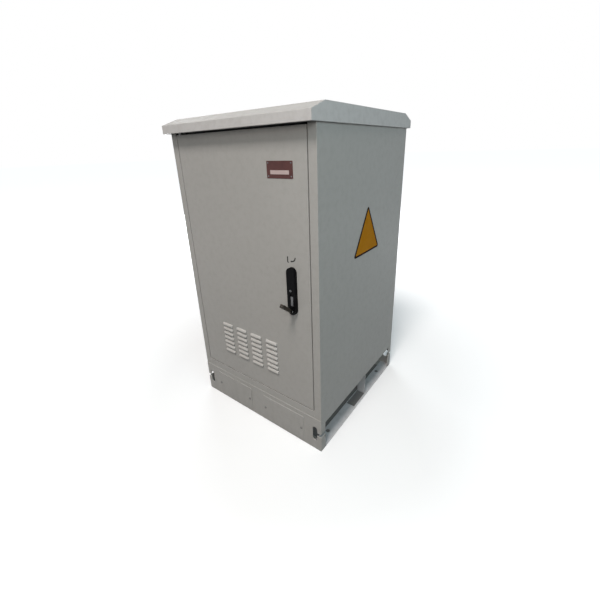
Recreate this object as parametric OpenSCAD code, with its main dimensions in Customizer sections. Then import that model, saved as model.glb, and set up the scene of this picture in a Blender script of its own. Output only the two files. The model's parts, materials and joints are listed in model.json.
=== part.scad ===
// Roadside utility cabinet: a folded steel body on an open plinth, with a canopy roof
// and one louvred door that a pop-out lever and two rods hold shut.
// The origin is on the ground at the centre of the cabinet, and the door faces -Y.

/* [Cabinet] */
// Width over the side panels
cab_w = 650; // [600:10:800]
// Depth from the door's face to the rear panel
cab_d = 650; // [560:10:800]
// Height from the ground to the roof
cab_h = 1200; // [1120:10:1500]
// Thickness of the body's sheet
sheet = 2; // [1.5:0.1:2.5]

/* [Plinth] */
// Height of the plinth
plinth_h = 146; // [136:1:170]
// Thickness of the plinth's sheet
plinth_sheet = 3; // [2.5:0.1:4]
// How far the beams stand proud of the body
plinth_proud = 1.5; // [0.5:0.1:2]
// Depth of the beams' folded flanges
beam_flange = 40; // [30:1:50]
// Length of the beams' end returns along the sides
beam_return = 28; // [24:1:40]
// Width of the bottom rails
rail_w = 48; // [42:1:56]
// Diameter of the anchor holes
anchor_d = 18; // [12:1:20]
// Anchor holes in from the sides
anchor_in_x = 32.5; // [24:0.5:36]
// Anchor holes in from the front and rear
anchor_in_y = 95; // [80:1:130]
// Length of the window pressed out of each rail
tab_window = 104; // [80:1:120]
// Width of that window and of its bent-up tab
tab_w = 38; // [25:1:38]
// Strip left outside the window
tab_strip = 8; // [6:0.5:10]
// Width of the corner slots
slot_w = 21; // [14:1:24]
// Height of the corner slots
slot_h = 63; // [40:1:80]
// Corner slots in from the sides
slot_in = 28.5; // [20:0.5:34]
// Height of the corner slots' centre
slot_z = 74; // [60:1:76]
// Height of the notch from each corner slot round the corner
notch_h = 13; // [8:1:20]

/* [Plinth covers] */
// Covers in from the plinth's ends
cover_in = 80; // [70:1:110]
// Height of each cover plate
cover_h = 116; // [90:1:118]
// Thickness of the cover plates
cover_t = 2; // [1.5:0.1:3]
// Height of the covers' lower edge
cover_z = 10; // [6:1:14]
// Distance between the two covers
cover_gap = 70; // [50:1:90]
// Corner radius of the covers
cover_r = 4; // [2:0.5:8]
// Rim of the beam behind each cover's edge
cover_rim = 24; // [18:1:30]
// Cover screws in from the cover's ends
cover_screw_in = 11; // [8:0.5:12]
// Diameter of the cover screws' shanks
cover_screw_d = 5; // [4:0.5:6]

/* [Body] */
// Width of the front posts
post_w = 29; // [26:1:40]
// Height of the sill below the door
sill_h = 32; // [26:1:50]
// How far the side panels hang below the plinth's top
side_drop = 26; // [20:1:30]
// Depth of the rebate that the door closes into
rebate_d = 30; // [29:0.5:36]
// Width of the seal lips round the opening
lip_w = 38; // [34:1:46]
// Height of the sill's lip behind the door's foot
sill_lip = 34; // [30:1:38]
// Height of the head rail's lip behind the door's top
head_lap = 26; // [22:1:28]
// Width of the folded returns on the side panels
return_w = 22; // [16:1:30]
// Height of the body's top plate above the skirt's edge
top_up = 12; // [10:0.5:16]
// Width of the seal
seal_w = 14; // [10:1:16]
// Clearance between the seal and the closed door
seal_clear = 0.5; // [0.3:0.1:1]

/* [Roof] */
// Height of the roof's upright band
roof_band = 28; // [24:1:40]
// Height of the roof's slope
roof_rise = 24; // [16:1:40]
// Depth of the slope at front and rear
roof_slope = 66; // [40:1:90]
// Overhang at front and rear
roof_over = 30; // [20:1:40]
// Overhang at the sides
roof_side = 5; // [4:0.5:10]
// Width of the hem under the front and rear skirts
roof_hem = 10; // [6:1:14]
// Diameter of the roof's spacers
spacer_d = 22; // [18:1:30]
// Diameter of the roof's bolts
roof_bolt_d = 8; // [6:1:10]
// Number of vent slots in the top plate
vent_count = 9; // [5:1:9]

/* [Door] */
// Gap round the door at the sides and below
door_gap = 4; // [3.8:0.1:6]
// Gap above the door, under the roof's skirt
head_gap = 5; // [4:0.5:8]
// Depth of the door pan
door_d = 25; // [22:0.5:25]
// Width of the pan's inner lips
door_lip = 30; // [26:1:36]
// Diameter of the hinge pins
pin_d = 8; // [6:0.5:9]
// Wall of the hinge bushes
bush_wall = 1.5; // [1:0.1:2]
// Height of the hinge blocks in the door
block_h = 30; // [20:1:40]
// Running clearance on pins and shafts, on the radius
run_clear = 0.05; // [0.02:0.01:0.08]
// Depth of the door's stiffeners
stiff_d = 16; // [10:1:18]
// Height of the lower stiffener
stiff_low_z = 480; // [470:1:490]
// Height of the upper stiffener
stiff_high_z = 900; // [850:1:950]

/* [Louvres] */
// Number of louvre columns
louvre_cols = 4; // [2:1:4]
// Number of louvre rows
louvre_rows = 7; // [3:1:7]
// Part of each column's width that its louvres fill
louvre_share = 0.672; // [0.5:0.001:0.8]
// Height of each louvre
louvre_h = 11; // [8:0.5:14]
// How far the louvres stand out
louvre_out = 6; // [4:0.5:7]
// Wall of the louvre hoods
louvre_wall = 1.5; // [1:0.1:2]
// Louvre field in from the door's left edge
louvre_left = 129.4; // [100:0.2:150]
// Louvre field's distance from the lock's centre line
louvre_right = 89.4; // [84:0.2:110]
// Distance between louvre rows
louvre_step_z = 20.9; // [18:0.1:22]
// Height of the lowest louvre's edge
louvre_z = 275; // [270:1:285]
// Depth of the filter frame behind the louvres
filter_d = 18; // [12:1:20]
// Rim of the filter frame round the louvre field
filter_rim = 16; // [12:1:20]

/* [Nameplate] */
// Width of the blank nameplate
name_w = 100; // [60:1:120]
// Height of the nameplate
name_h = 50; // [30:1:60]
// Thickness of the nameplate
name_t = 1; // [0.6:0.1:2]
// Nameplate's centre in from the door's right edge
name_in = 101; // [70:1:120]
// Nameplate's centre down from the door's top
name_down = 116; // [80:1:140]
// Diameter of the nameplate's rivet heads
rivet_d = 5; // [3:0.5:6]

/* [Lock] */
// Lock's centre line in from the door's right edge
lock_in = 70; // [64:1:80]
// Height of the lever's hub
lock_z = 578; // [560:1:620]
// Width of the lock plate
lock_w = 35; // [34:0.5:42]
// Length of the lock plate
lock_l = 168; // [160:1:190]
// Thickness of the lock plate's rims beside the lever
bed_t = 12; // [11:0.5:14]
// How far the lock plate's head stands above the rims
head_step = 2; // [1:0.5:4]
// Depth of the recess under the lever
recess_d = 3.5; // [3:0.1:4]
// Width of that recess
recess_w = 14; // [12:0.5:16]
// Length of the lever beyond its pin
lever_l = 62; // [50:1:66]
// Width of the lever
lever_w = 14; // [12:0.5:16]
// Thickness of the lever
lever_t = 12; // [10:0.5:13]
// Angle of the lever out of its bed
lever_out = 50; // [30:1:70]
// Clearance beyond the swinging lever's tip
lever_clear = 2; // [1.5:0.1:3]
// Clearance between the stowed lever and the rims
stow_clear = 1; // [0.8:0.1:2]
// Diameter of the hub's shaft
shaft_d = 12; // [10:0.5:13]
// Diameter of the key barrel
barrel_d = 12; // [10:0.5:13]
// Diameter of the key plug
plug_d = 8; // [7:0.5:8.5]
// Radius of the cam disc's pins
cam_r = 20; // [20:0.5:21]
// Diameter of the cam disc's pins
cam_pin_d = 6; // [5:0.2:6]
// Width of the rods
rod_w = 16; // [14:0.5:18]
// Thickness of the rods
rod_t = 4; // [3:0.5:5]
// Clearance round the rods and cam pins
rod_clear = 0.8; // [0.7:0.1:1]

/* [Inside] */
// Rack height in units
rack_units = 20; // [14:1:20]
// Space between each side panel and the rack's opening
rack_side = 98; // [90:1:110]
// Width of the rack rails' legs
rack_leg = 40; // [36:1:46]
// Front rack rails behind the door's face
rack_front = 85; // [80:1:120]
// Rear rack rails in front of the rear panel
rack_rear = 115; // [80:1:160]
// Height of the rack struts
strut_h = 30; // [24:1:40]
// Width of the gland plate
gland_w = 340; // [300:1:380]
// Depth of the gland plate
gland_d = 180; // [160:1:200]
// Number of grommets in each row
grommet_cols = 3; // [2:1:3]
// Diameter of the grommets' holes
grommet_d = 40; // [25:1:44]
// Length of the earth bar
earth_l = 200; // [150:1:260]
// Height of the earth bar
earth_h = 25; // [20:1:30]
// Thickness of the earth bar
earth_t = 5; // [4:0.5:8]

/* [Hidden] */
$fn = 48;

paint = [0.72, 0.71, 0.68];
zinc = [0.76, 0.78, 0.79];
steel = [0.62, 0.63, 0.64];
black = [0.06, 0.06, 0.065];
rubber = [0.10, 0.10, 0.10];
copper = [0.78, 0.44, 0.28];
brown = [0.33, 0.17, 0.13];
felt = [0.41, 0.41, 0.41];
cut = 1;

// Body planes
hw = cab_w / 2;
front = -cab_d / 2;
rear = cab_d / 2;
skirt_z = cab_h - roof_rise - roof_band;
body_top = skirt_z + top_up;
panel_top = body_top - sheet;
panel_z = plinth_h - side_drop;
floor_top = plinth_h + sheet;
roof_bolt_in = 75;

// Plinth planes
beam_y = front - plinth_proud;
beam_in = beam_y + plinth_sheet;
rail_in = hw - rail_w;
slot_x = hw - slot_in;
tab_y = tab_window / 2;
cover_w = hw - cover_in - cover_gap / 2;
cover_x = cover_gap / 2 + cover_w / 2;
cover_screw_x = cover_w / 2 - cover_screw_in;
cover_mid = cover_z + cover_h / 2;

// Opening, rebate and seal
open_x = hw - post_w;
sill_top = plinth_h + sill_h;
lip_y = front + rebate_d;
lip_x = open_x - lip_w;
sill_lip_top = sill_top + sill_lip;
seal_in = lip_x + sheet;
seal_y = front + door_d + seal_clear;
seal_low = sill_lip_top - sheet - seal_w;
seal_over = 2;

// Door
door_x = open_x - door_gap;
door_low = sill_top + door_gap;
door_top = skirt_z - head_gap;
head_low = door_top - head_lap;
pan_in = front + sheet;
pan_back = front + door_d;
bush_r = pin_d / 2 + run_clear + bush_wall;
bush_room = 0.45;
bush_edge = 1.45;
pivot_x = -door_x + sheet + bush_r + bush_edge;
pivot_y = pan_in + bush_r + bush_room;
block_wall = 4;
bracket_t = 2.5;
bracket_y = pan_back - sheet;
thrust = 0.3;
bush_flange = door_gap - bracket_t - thrust;

// Louvre field
lock_x = door_x - lock_in;
field_low = -door_x + louvre_left;
field_w = lock_x - louvre_right - field_low;
louvre_x = field_low + field_w / 2;
louvre_step_x = field_w / (louvre_cols - 1 + louvre_share);
louvre_w = louvre_step_x * louvre_share;
field_h = (louvre_rows - 1) * louvre_step_z + louvre_h;
louvre_back = (louvre_h * louvre_h - louvre_out * louvre_out) / (2 * louvre_out);
louvre_r = louvre_back + louvre_out;
louvre_slot = sqrt(pow(louvre_r - louvre_wall, 2) - pow(louvre_back, 2));

// Lock planes
lock_low = lock_z - lock_w / 2;
bed_y = front - bed_t;
head_t = bed_t + head_step;
floor_y = bed_y + recess_d;
hub_r = 11;
hub_gap = 0.3;
hub_sunk = 0.2;
hub_t = recess_d - hub_gap - hub_sunk;
ear_t = 4;
ear_r = 5;
ear_gap = 0.4;
root_w = 10;
cross_pin_d = 5;
arc_r = lever_l + lever_clear;
barrel_z = lock_z + arc_r + barrel_d / 2 + 2;
recess_end = 4;
recess_z = lock_z + arc_r - recess_end - recess_w / 2;
back_t = 3;
back_boss = 20;
boss_end = pan_in + back_t + back_boss;
cam_t = 5;
cam_y = boss_end + 0.5;
cam_disc_r = cam_r + cam_pin_d / 2 + 3;
cam_bore_r = 5;
cam_screw_d = 5;
cam_screw_l = 14;
lock_screw_d = 5;
lock_screw_bite = 6;
lock_screw_z = [lock_low + lock_l - 18, lock_z + 40];
rod_y = lip_y + sheet + rod_clear;
rod_in = cam_r * (1 + cos(45)) / 2;
rod_tip = 8;
yoke_w = 26;
yoke_h = 18;
guide_t = 2.5;
upper_guide_z = [lock_low + lock_l + 40, door_top - 80];
lower_guide_z = [lock_low - 60, door_low + 90];

// Rack
unit_h = 44.45;
rack_z = floor_top + 52;
rack_l = rack_units * unit_h;
rack_hole = 9.5;
rack_bolt_d = 6;
rack_hole_in = 7.55;
rack_x = hw - sheet - rack_side;
rack_hole_x = rack_x + rack_hole_in;
rack_front_y = front + rack_front;
rack_rear_y = rear - rack_rear;
strut_x = rack_x + rack_leg;
strut_low = rack_z + 60;
strut_high = rack_z + rack_l - 60;

// Cuboid between two corners
module block(lo, hi) {
    translate(lo) cube(hi - lo);
}

// Cylinder along Y, starting at y and running rearwards
module rod_along_y(x, y, z, r, l) {
    translate([x, y, z]) rotate([-90, 0, 0]) cylinder(r = r, h = l);
}

// Rectangle with round corners, centred
module round_rect(w, h, r) {
    square([w - 2 * r, h], center = true);
    square([w, h - 2 * r], center = true);
    for (sx = [-1, 1], sy = [-1, 1]) translate([sx * (w / 2 - r), sy * (h / 2 - r)]) circle(r);
}

// Flat outline raised along -Y from the plane y
module raise(x, y, z, t) {
    translate([x, y, z]) rotate([90, 0, 0]) linear_extrude(t) children();
}

// Screw along +Y with its head's underside at the origin
module screw(head_r, head_h, shank_r, l) {
    rotate([-90, 0, 0]) rotate_extrude() polygon([
        [0, -head_h], [head_r * 0.7, -head_h], [head_r, -head_h * 0.5], [head_r, 0],
        [shank_r, 0], [shank_r, l], [0, l]
    ]);
}

// Right and left copies
module both_sides() {
    children();
    mirror([1, 0, 0]) children();
}

// Plinth

module corner_slot() {
    reach = (slot_h - slot_w) / 2;
    for (s = [-1, 1])
        rod_along_y(slot_x, beam_y - cut, slot_z + s * reach, slot_w / 2, plinth_sheet + 2 * cut);
    block([slot_x - slot_w / 2, beam_y - cut, slot_z - reach],
          [slot_x + slot_w / 2, beam_in + cut, slot_z + reach]);
    block([slot_x, beam_y - cut, slot_z - notch_h / 2],
          [hw + cut, front + beam_return + cut, slot_z + notch_h / 2]);
}

module plinth_beam() {
    difference() {
        union() {
            block([-hw, beam_y, 0], [hw, beam_in, plinth_h]);
            block([-hw + sheet, beam_in, plinth_h - plinth_sheet],
                  [hw - sheet, beam_in + beam_flange, plinth_h]);
            block([-rail_in, beam_in, 0], [rail_in, beam_in + beam_flange, plinth_sheet]);
            both_sides() block([hw - plinth_sheet, beam_in, 0],
                               [hw, front + beam_return, panel_z]);
        }
        both_sides() corner_slot();
    }
}

module plinth_front_beam() {
    win_w = cover_w - 2 * cover_rim;
    win_h = cover_h - 2 * cover_rim;
    color(paint) difference() {
        plinth_beam();
        for (s = [-1, 1]) {
            raise(s * cover_x, beam_in + cut, cover_mid, plinth_sheet + 2 * cut)
                round_rect(win_w, win_h, cover_r);
            for (e = [-1, 1])
                rod_along_y(s * cover_x + e * cover_screw_x, beam_y - cut, cover_mid,
                            cover_screw_d / 2, plinth_sheet + 2 * cut);
        }
    }
}

module plinth_rear_beam() {
    color(paint) rotate(180) plinth_beam();
}

module plinth_rail() {
    out = hw - tab_strip;
    end = front + beam_return;
    difference() {
        block([rail_in, beam_in, 0], [hw, -beam_in, plinth_sheet]);
        for (s = [-1, 1]) {
            translate([hw - anchor_in_x, s * (rear - anchor_in_y), -cut])
                cylinder(d = anchor_d, h = plinth_sheet + 2 * cut);
            block([hw - plinth_sheet, s < 0 ? front - cut : -end, -cut],
                  [hw + cut, s < 0 ? end : rear + cut, plinth_sheet + cut]);
        }
        block([out - tab_w, -tab_y, -cut], [out, tab_y, plinth_sheet + cut]);
    }
    block([out - tab_w, tab_y, plinth_sheet], [out, tab_y + plinth_sheet, panel_z]);
}

module plinth_right_rail() {
    color(paint) plinth_rail();
}

module plinth_left_rail() {
    color(paint) mirror([1, 0, 0]) plinth_rail();
}

module plinth_cover(s) {
    color(paint) difference() {
        raise(s * cover_x, beam_y, cover_mid, cover_t) round_rect(cover_w, cover_h, cover_r);
        for (e = [-1, 1])
            rod_along_y(s * cover_x + e * cover_screw_x, beam_y - cover_t - cut, cover_mid,
                        cover_screw_d / 2, cover_t + 2 * cut);
    }
}

module plinth_cover_left() {
    plinth_cover(-1);
}

module plinth_cover_right() {
    plinth_cover(1);
}

module plinth_cover_screws() {
    color(zinc) for (s = [-1, 1], e = [-1, 1])
        translate([s * cover_x + e * cover_screw_x, beam_y - cover_t, cover_mid])
            screw(cover_screw_d, cover_screw_d * 0.6, cover_screw_d / 2, cover_t + plinth_sheet + 4);
}

// Body

module panel_section() {
    translate([hw - sheet, front]) square([sheet, cab_d]);
    translate([open_x, front]) square([post_w, sheet]);
    translate([open_x, front]) square([sheet, rebate_d + sheet]);
    translate([lip_x, lip_y]) square([lip_w + sheet, sheet]);
    translate([hw - return_w, rear - 2 * sheet]) square([return_w, sheet]);
}

module side_panel() {
    translate([0, 0, plinth_h]) linear_extrude(panel_top - plinth_h) panel_section();
    block([hw - sheet, beam_in, panel_z], [hw, -beam_in, plinth_h]);
    block([hw - rail_w, front + beam_return, panel_z], [hw, rear - beam_return, panel_z + sheet]);
}

module right_side_panel() {
    color(paint) side_panel();
}

module left_side_panel() {
    color(paint) mirror([1, 0, 0]) side_panel();
}

module rear_panel() {
    color(paint) block([-hw + sheet, rear - sheet, plinth_h], [hw - sheet, rear, panel_top]);
}

module floor_plate() {
    rim = 20;
    color(paint) difference() {
        block([-hw + sheet, front + sheet, plinth_h], [hw - sheet, rear - 2 * sheet, floor_top]);
        both_sides() block([lip_x - cut, front, plinth_h - cut],
                           [open_x + sheet, lip_y + sheet, floor_top + cut]);
        block([-gland_w / 2 + rim, rim, plinth_h - cut],
              [gland_w / 2 - rim, gland_d - rim, floor_top + cut]);
    }
}

grommet_step_x = gland_w / (grommet_cols + 1);
grommet_step_y = gland_d / 3;

module at_grommets() {
    for (i = [1 : grommet_cols], j = [1, 2])
        translate([-gland_w / 2 + i * grommet_step_x, j * grommet_step_y, floor_top]) children();
}

module gland_plate() {
    color(zinc) difference() {
        block([-gland_w / 2, 0, floor_top], [gland_w / 2, gland_d, floor_top + sheet]);
        at_grommets() translate([0, 0, -cut]) cylinder(d = grommet_d, h = sheet + 2 * cut);
    }
}

module cable_grommets() {
    neck = grommet_d / 2;
    rim = neck + 4;
    color(rubber) at_grommets() rotate_extrude() polygon([
        [0, 0], [neck, 0], [neck, sheet], [rim, sheet], [rim, sheet + 3], [rim - 2, sheet + 5],
        [neck - 4, sheet + 5], [neck - 6, 2], [0, 2]
    ]);
}

module sill() {
    color(paint) {
        block([-open_x, front, plinth_h], [open_x, front + sheet, sill_top]);
        block([-open_x, front + sheet, sill_top - sheet], [open_x, lip_y, sill_top]);
        block([-lip_x, lip_y, sill_top - sheet], [lip_x, lip_y + sheet, sill_lip_top]);
        block([-lip_x, front + sheet, floor_top], [lip_x, lip_y, floor_top + sheet]);
    }
}

module head_rail() {
    color(paint) {
        block([-lip_x, lip_y, head_low], [lip_x, lip_y + sheet, panel_top]);
        block([-open_x, front, panel_top - sheet], [open_x, lip_y, panel_top]);
    }
}

module vent_slot() {
    vent_l = 120;
    vent_r = 5;
    for (s = [-1, 1]) translate([0, s * vent_l / 2, -cut]) cylinder(r = vent_r, h = sheet + 2 * cut);
    block([-vent_r, -vent_l / 2, -cut], [vent_r, vent_l / 2, sheet + cut]);
}

module top_plate() {
    vent_step = 40;
    color(paint) difference() {
        block([-hw, front, panel_top], [hw, rear, body_top]);
        for (i = [0 : vent_count - 1], s = [-1, 1])
            translate([(i - (vent_count - 1) / 2) * vent_step, s * cab_d / 5, panel_top]) vent_slot();
        at_roof_bolts() translate([0, 0, panel_top - cut])
            cylinder(d = roof_bolt_d, h = sheet + 2 * cut);
    }
}

module door_seal() {
    color(rubber) difference() {
        block([-seal_in - seal_w, seal_y, seal_low], [seal_in + seal_w, lip_y, skirt_z + seal_over]);
        block([-seal_in, seal_y - cut, seal_low + seal_w], [seal_in, lip_y + cut, head_low + sheet]);
    }
}

// Roof

module roof_outline(inset) {
    m = roof_rise / roof_slope;
    drop = inset * sqrt(1 + m * m);
    y0 = front - roof_over;
    eave = skirt_z + roof_band - drop + inset * m;
    ridge = y0 + (roof_rise - inset + drop) / m;
    base = inset > 0 ? skirt_z - cut : skirt_z;
    polygon([
        [y0 + inset, base], [y0 + inset, eave], [ridge, cab_h - inset],
        [-ridge, cab_h - inset], [-y0 - inset, eave], [-y0 - inset, base]
    ]);
}

module along_x(l) {
    translate([-l / 2, 0, 0]) rotate([90, 0, 90]) linear_extrude(l) children();
}

module roof_canopy() {
    roof_w = cab_w + 2 * roof_side;
    hem_y = front - roof_over + sheet;
    color(paint) {
        difference() {
            along_x(roof_w) roof_outline(0);
            along_x(roof_w - 2 * sheet) roof_outline(sheet);
        }
        for (s = [0, 180]) rotate(s)
            block([-roof_w / 2 + sheet, hem_y, skirt_z],
                  [roof_w / 2 - sheet, hem_y + roof_hem, skirt_z + sheet]);
    }
}

module at_roof_bolts() {
    for (sx = [-1, 1], sy = [-1, 1])
        translate([sx * (hw - roof_bolt_in), sy * (rear - roof_bolt_in), 0]) children();
}

module roof_spacers() {
    color(zinc) at_roof_bolts() difference() {
        translate([0, 0, body_top]) cylinder(d = spacer_d, h = cab_h - sheet - body_top);
        translate([0, 0, body_top - cut]) cylinder(d = roof_bolt_d, h = cab_h);
    }
}

module roof_bolts() {
    bolt_l = cab_h - sheet - panel_top - 4;
    color(zinc) at_roof_bolts() translate([0, 0, panel_top]) rotate([90, 0, 0])
        screw(roof_bolt_d * 0.8, roof_bolt_d * 0.6, roof_bolt_d / 2, bolt_l);
}

// Rack, earth bar

function rack_hole_z(u, k) = rack_z + u * unit_h + [6.35, 22.225, 38.1][k];

module rack_rail() {
    difference() {
        union() {
            block([rack_x, 0, rack_z], [strut_x, sheet, rack_z + rack_l]);
            block([strut_x - sheet, 0, rack_z], [strut_x, rack_leg, rack_z + rack_l]);
        }
        for (u = [0 : rack_units - 1], k = [0 : 2])
            translate([rack_hole_x, sheet / 2, rack_hole_z(u, k)])
                cube([rack_hole, sheet + 2 * cut, rack_hole], center = true);
        for (z = [strut_low, strut_high])
            translate([strut_x - sheet - cut, rack_leg / 2, z]) rotate([0, 90, 0])
                cylinder(d = rack_bolt_d, h = sheet + 2 * cut);
    }
}

module rack_rail_front_right() {
    color(zinc) translate([0, rack_front_y, 0]) rack_rail();
}

module rack_rail_front_left() {
    color(zinc) mirror([1, 0, 0]) translate([0, rack_front_y, 0]) rack_rail();
}

module rack_rail_rear_right() {
    color(zinc) translate([0, rack_rear_y, 0]) mirror([0, 1, 0]) rack_rail();
}

module rack_rail_rear_left() {
    color(zinc) mirror([1, 0, 0]) translate([0, rack_rear_y, 0]) mirror([0, 1, 0]) rack_rail();
}

module rack_struts() {
    color(zinc) both_sides() for (z = [strut_low, strut_high]) difference() {
        block([strut_x, rack_front_y, z - strut_h / 2], [hw - sheet, rack_rear_y, z + strut_h / 2]);
        block([strut_x + sheet, rack_front_y - cut, z - strut_h / 2 + sheet],
              [hw, rack_rear_y + cut, z + strut_h / 2 - sheet]);
        for (y = [rack_front_y + rack_leg / 2, rack_rear_y - rack_leg / 2])
            translate([strut_x - cut, y, z]) rotate([0, 90, 0])
                cylinder(d = rack_bolt_d, h = sheet + 2 * cut);
    }
}

module rack_bolts() {
    color(steel) both_sides()
        for (z = [strut_low, strut_high], y = [rack_front_y + rack_leg / 2, rack_rear_y - rack_leg / 2])
            translate([strut_x - sheet, y, z]) rotate([0, 0, -90])
                screw(rack_bolt_d * 0.8, rack_bolt_d * 0.6, rack_bolt_d / 2, 2 * sheet + 6);
}

earth_z = floor_top + 46;
earth_gap = 25;
earth_hole_d = 8;
standoff_d = 16;
standoff_in = 10;
earth_back = rear - sheet - earth_gap;

module earth_bar() {
    holes = 8;
    pitch = earth_l / (holes + 2);
    color(copper) difference() {
        block([-earth_l / 2, earth_back - earth_t, earth_z - earth_h / 2],
              [earth_l / 2, earth_back, earth_z + earth_h / 2]);
        for (i = [0 : holes - 1])
            rod_along_y((i - (holes - 1) / 2) * pitch, earth_back - earth_t - cut, earth_z,
                        earth_hole_d / 2, earth_t + 2 * cut);
    }
}

module earth_standoffs() {
    color(rubber) for (s = [-1, 1])
        rod_along_y(s * (earth_l / 2 - standoff_in), earth_back, earth_z, standoff_d / 2, earth_gap);
}

// Hinges

module hinge_bracket(z, up) {
    difference() {
        union() {
            block([-open_x, pan_in, z], [pivot_x + bush_r + 4, bracket_y, z + bracket_t]);
            if (up) block([-open_x, pan_in, z + bracket_t],
                          [-open_x + bracket_t, bracket_y, panel_top - sheet]);
        }
        translate([pivot_x, pivot_y, z - cut]) cylinder(d = pin_d, h = bracket_t + 2 * cut);
    }
}

upper_bracket_z = door_top + 2;

module upper_hinge_bracket() {
    color(zinc) hinge_bracket(upper_bracket_z, true);
}

module lower_hinge_bracket() {
    color(zinc) hinge_bracket(sill_top, false);
}

module upper_hinge_pin() {
    head = 3;
    end_z = door_top - block_h + 2;
    head_z = upper_bracket_z + bracket_t;
    color(steel) {
        translate([pivot_x, pivot_y, end_z]) cylinder(d = pin_d, h = head_z - end_z);
        translate([pivot_x, pivot_y, head_z]) cylinder(d = pin_d + 4, h = head);
    }
}

module lower_hinge_pin() {
    color(steel) translate([pivot_x, pivot_y, sill_top]) cylinder(d = pin_d, h = block_h);
}

module hinge_bore(r) {
    translate([pivot_x, pivot_y, door_low - cut]) cylinder(r = r, h = block_h + 2 * cut);
    translate([pivot_x, pivot_y, door_top - block_h - cut]) cylinder(r = r, h = block_h + 2 * cut);
}

module hinge_blocks() {
    lo = [-door_x + sheet, pan_in];
    hi = [pivot_x + bush_r + block_wall, pan_back - sheet];
    color(zinc) difference() {
        for (z = [door_low + sheet, door_top - block_h])
            block([lo[0], lo[1], z], [hi[0], hi[1], z + block_h - sheet]);
        hinge_bore(bush_r);
    }
}

module upper_hinge_bush() {
    color(rubber) translate([pivot_x, pivot_y, door_top - block_h]) difference() {
        cylinder(r = bush_r, h = block_h);
        translate([0, 0, -cut]) cylinder(r = pin_d / 2 + run_clear, h = block_h + 2 * cut);
    }
}

module lower_hinge_bush() {
    color(rubber) translate([pivot_x, pivot_y, door_low]) difference() {
        union() {
            cylinder(r = bush_r, h = block_h);
            translate([0, 0, -bush_flange]) cylinder(r = bush_r + 2, h = bush_flange);
        }
        translate([0, 0, -bush_flange - cut])
            cylinder(r = pin_d / 2 + run_clear, h = block_h + bush_flange + 2 * cut);
    }
}

// Door

module at_louvres() {
    for (i = [0 : louvre_cols - 1], j = [0 : louvre_rows - 1])
        translate([louvre_x + (i - (louvre_cols - 1) / 2) * louvre_step_x, front,
                   louvre_z + j * louvre_step_z]) children();
}

// Hood's section in the YZ plane: outwards is -Y
module hood_arc(inner) {
    intersection() {
        difference() {
            translate([louvre_back, 0]) circle(louvre_r);
            if (inner > 0) translate([louvre_back, 0]) circle(inner);
        }
        translate([-louvre_out, 0]) square([louvre_out + sheet / 2, louvre_h + sheet]);
    }
}

module louvre_hood() {
    along_x(louvre_w) hood_arc(louvre_r - louvre_wall);
    for (s = [-1, 1]) translate([s * (louvre_w - louvre_wall) / 2, 0, 0])
        along_x(louvre_wall) hood_arc(0);
}

module door_pan() {
    block([-door_x, front, door_low], [door_x, pan_in, door_top]);
    difference() {
        block([-door_x, front, door_low], [door_x, pan_back, door_top]);
        block([-door_x + sheet, front - cut, door_low + sheet],
              [door_x - sheet, pan_back - sheet, door_top - sheet]);
        block([-door_x + door_lip, front - cut, door_low + door_lip],
              [door_x - door_lip, pan_back + cut, door_top - door_lip]);
    }
}

module door_panel() {
    slot_w_in = louvre_w - 2 * louvre_wall;
    color(paint) {
        difference() {
            door_pan();
            at_louvres() block([-slot_w_in / 2, -cut, 0], [slot_w_in / 2, sheet + cut, louvre_slot]);
            hinge_bore(bush_r);
            rod_along_y(lock_x, front - cut, lock_z, shaft_d / 2 + 2, sheet + 2 * cut);
            lock_screw_bores();
        }
        at_louvres() louvre_hood();
    }
}

module hat(x0, x1, z) {
    top_h = 30;
    brim = 15;
    block([x0, pan_in, z - top_h / 2 - brim], [x1, pan_in + sheet, z - top_h / 2 + sheet]);
    block([x0, pan_in, z + top_h / 2 - sheet], [x1, pan_in + sheet, z + top_h / 2 + brim]);
    block([x0, pan_in, z - top_h / 2], [x1, pan_in + stiff_d, z - top_h / 2 + sheet]);
    block([x0, pan_in, z + top_h / 2 - sheet], [x1, pan_in + stiff_d, z + top_h / 2]);
    block([x0, pan_in + stiff_d - sheet, z - top_h / 2], [x1, pan_in + stiff_d, z + top_h / 2]);
}

module door_stiffeners() {
    color(paint) for (z = [stiff_low_z, stiff_high_z])
        hat(-door_x + door_lip + sheet, lock_x - lock_w, z);
}

filter_w = field_w + 2 * filter_rim;
filter_h = field_h + 2 * filter_rim;
filter_z = louvre_z - filter_rim;

module filter_frame() {
    lip = 8;
    x0 = louvre_x - filter_w / 2;
    color(zinc) difference() {
        block([x0, pan_in, filter_z], [x0 + filter_w, pan_in + filter_d, filter_z + filter_h]);
        block([x0 + sheet, pan_in - cut, filter_z + sheet],
              [x0 + filter_w - sheet, pan_in + filter_d - sheet, filter_z + filter_h - sheet]);
        block([x0 + lip, pan_in, filter_z + lip],
              [x0 + filter_w - lip, pan_in + filter_d + cut, filter_z + filter_h - lip]);
    }
}

module filter_mat() {
    x0 = louvre_x - filter_w / 2;
    color(felt) block([x0 + sheet, pan_in + sheet, filter_z + sheet],
                      [x0 + filter_w - sheet, pan_in + filter_d - sheet, filter_z + filter_h - sheet]);
}

name_x = door_x - name_in;
name_z = door_top - name_down;
rivet_in = 6;

module nameplate() {
    color(brown) raise(name_x, front, name_z, name_t) round_rect(name_w, name_h, 2);
}

module nameplate_rivets() {
    color(zinc) for (sx = [-1, 1], sz = [-1, 1])
        translate([name_x + sx * (name_w / 2 - rivet_in), front - name_t,
                   name_z + sz * (name_h / 2 - rivet_in)])
            rotate([90, 0, 0]) rotate_extrude() intersection() {
                translate([0, -rivet_d / 2]) circle(rivet_d * 0.7);
                square([rivet_d / 2, rivet_d]);
            }
}

// Lock

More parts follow.
